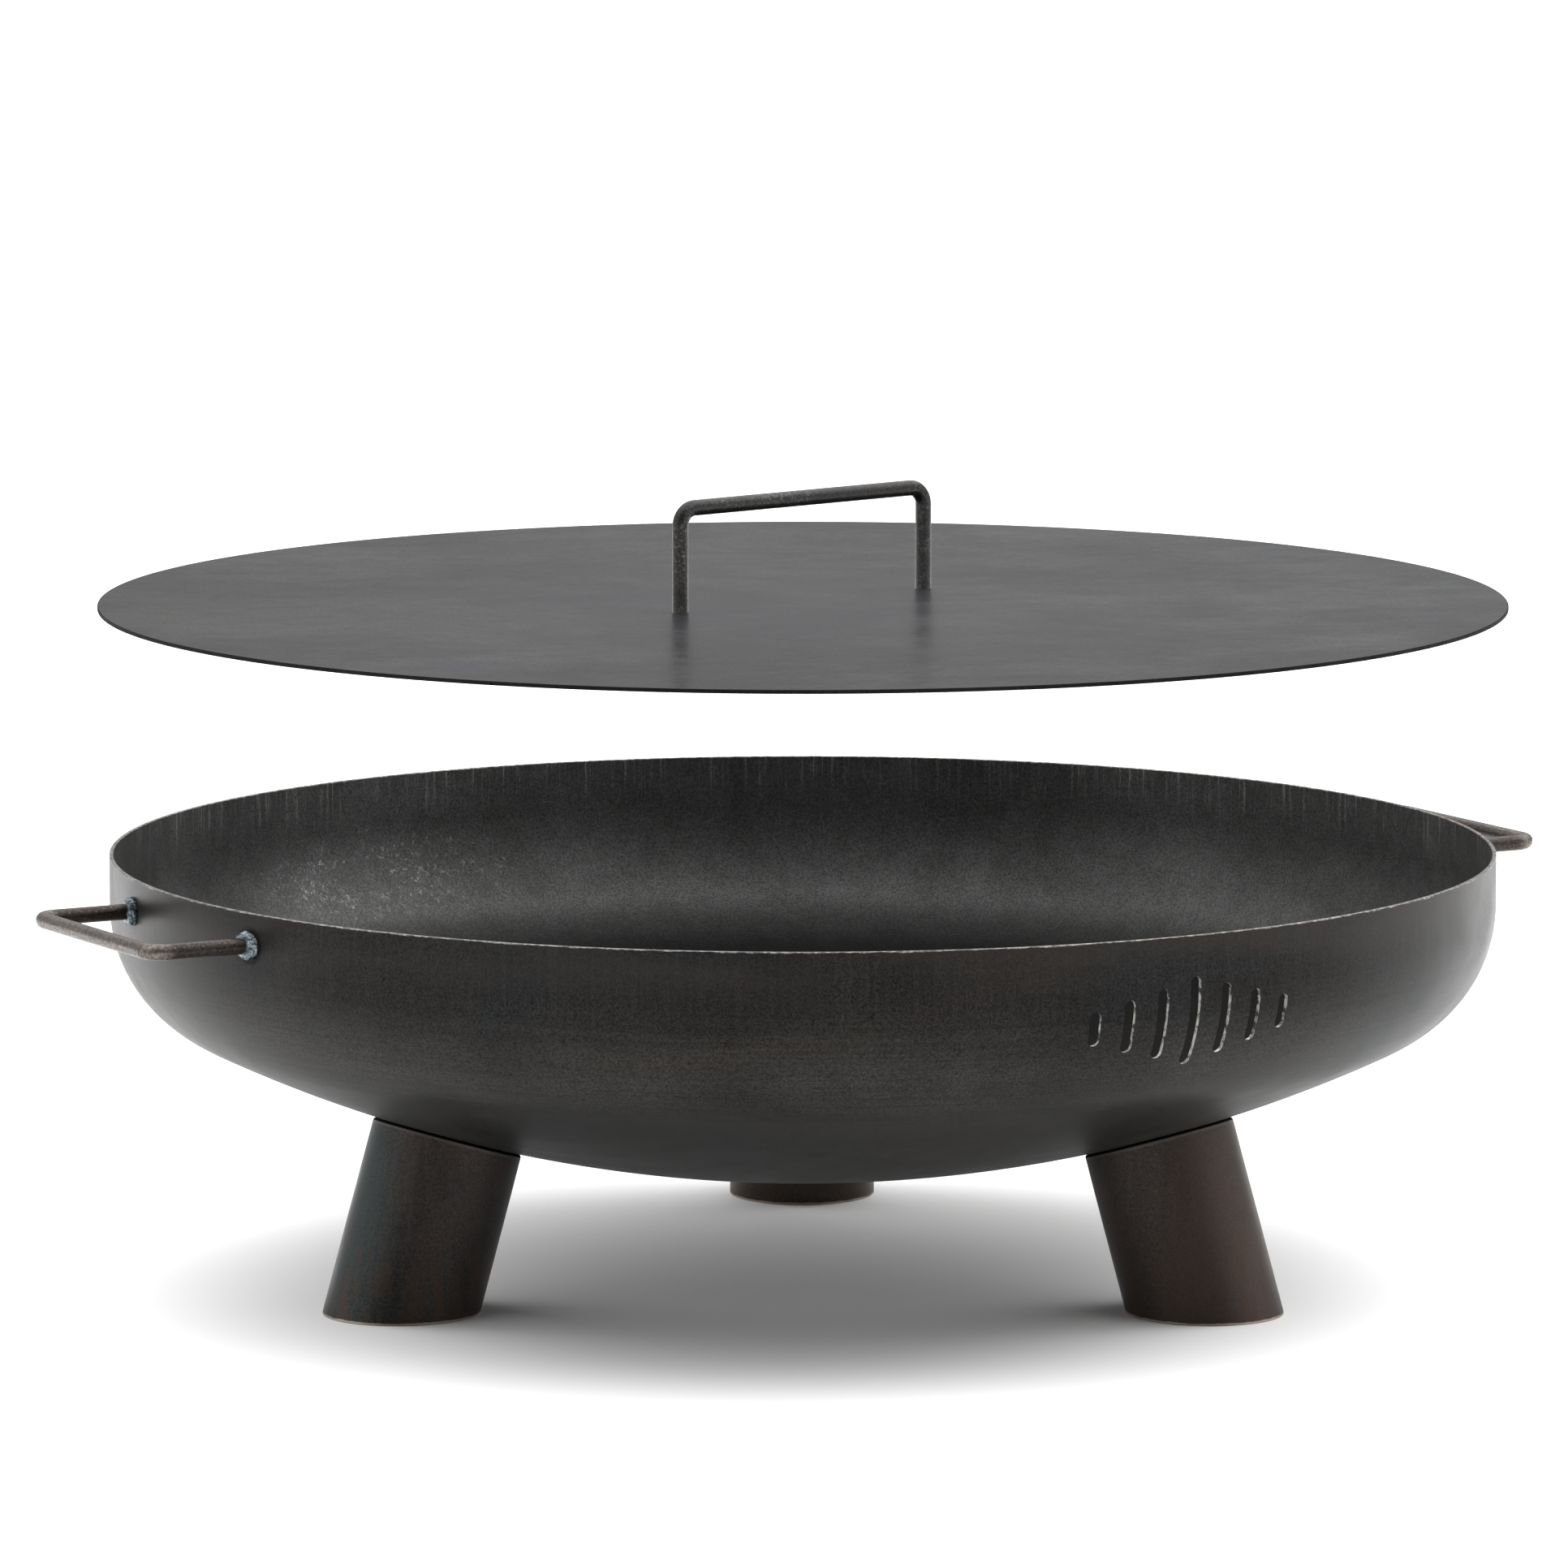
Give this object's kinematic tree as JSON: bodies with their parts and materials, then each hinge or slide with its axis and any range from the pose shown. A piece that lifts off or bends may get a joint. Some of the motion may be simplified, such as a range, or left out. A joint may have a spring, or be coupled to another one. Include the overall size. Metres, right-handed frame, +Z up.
{
  "type": "fire bowl",
  "caption": "Round dished steel fire bowl on splayed tube legs, with bent-bar side handles, draught slots and a flat lift-off lid with a bar handle.",
  "frame": {"origin": "on the floor, under the bowl's centre", "axes": "+Z up along the bowl's axis; the front, between two of the legs, is -Y; the leg on its own is at +Y"},
  "size_m": [0.7572, 0.71, 0.399],
  "materials": {
    "bowl_steel": "oiled mill scale",
    "lid_steel": "smooth oiled mill scale",
    "leg_steel": "oiled mill scale",
    "bar_steel": "oiled mill scale, worn at the bends",
    "weld_metal": "as welded",
    "bolt_steel": "plain steel"
  },
  "bodies": {
    "fire_bowl": {"bowl": "bowl_steel", "leg_tube_front_left": "leg_steel", "leg_plate_front_left": "leg_steel", "leg_plate_weld_front_left": "weld_metal", "leg_nut_front_left": "bolt_steel", "leg_washer_front_left": "bolt_steel", "leg_bolt_front_left": "bolt_steel", "leg_tube_front_right": "leg_steel", "leg_plate_front_right": "leg_steel", "leg_plate_weld_front_right": "weld_metal", "leg_nut_front_right": "bolt_steel", "leg_washer_front_right": "bolt_steel", "leg_bolt_front_right": "bolt_steel", "leg_tube_rear": "leg_steel", "leg_plate_rear": "leg_steel", "leg_plate_weld_rear": "weld_metal", "leg_nut_rear": "bolt_steel", "leg_washer_rear": "bolt_steel", "leg_bolt_rear": "bolt_steel", "side_handle_left": "bar_steel", "side_handle_right": "bar_steel", "handle_weld_left_front": "weld_metal", "handle_weld_left_rear": "weld_metal", "handle_weld_right_front": "weld_metal", "handle_weld_right_rear": "weld_metal"},
    "lid": {"lid_plate": "lid_steel", "lid_handle": "bar_steel", "lid_weld_left": "weld_metal", "lid_weld_right": "weld_metal"}
  },
  "joints": [
    {"name": "lid_lift", "type": "slide", "parent": "fire_bowl", "child": "lid", "axis": [0, 0, 1], "range_m": [-0.1237, 0.176]}
  ]
}
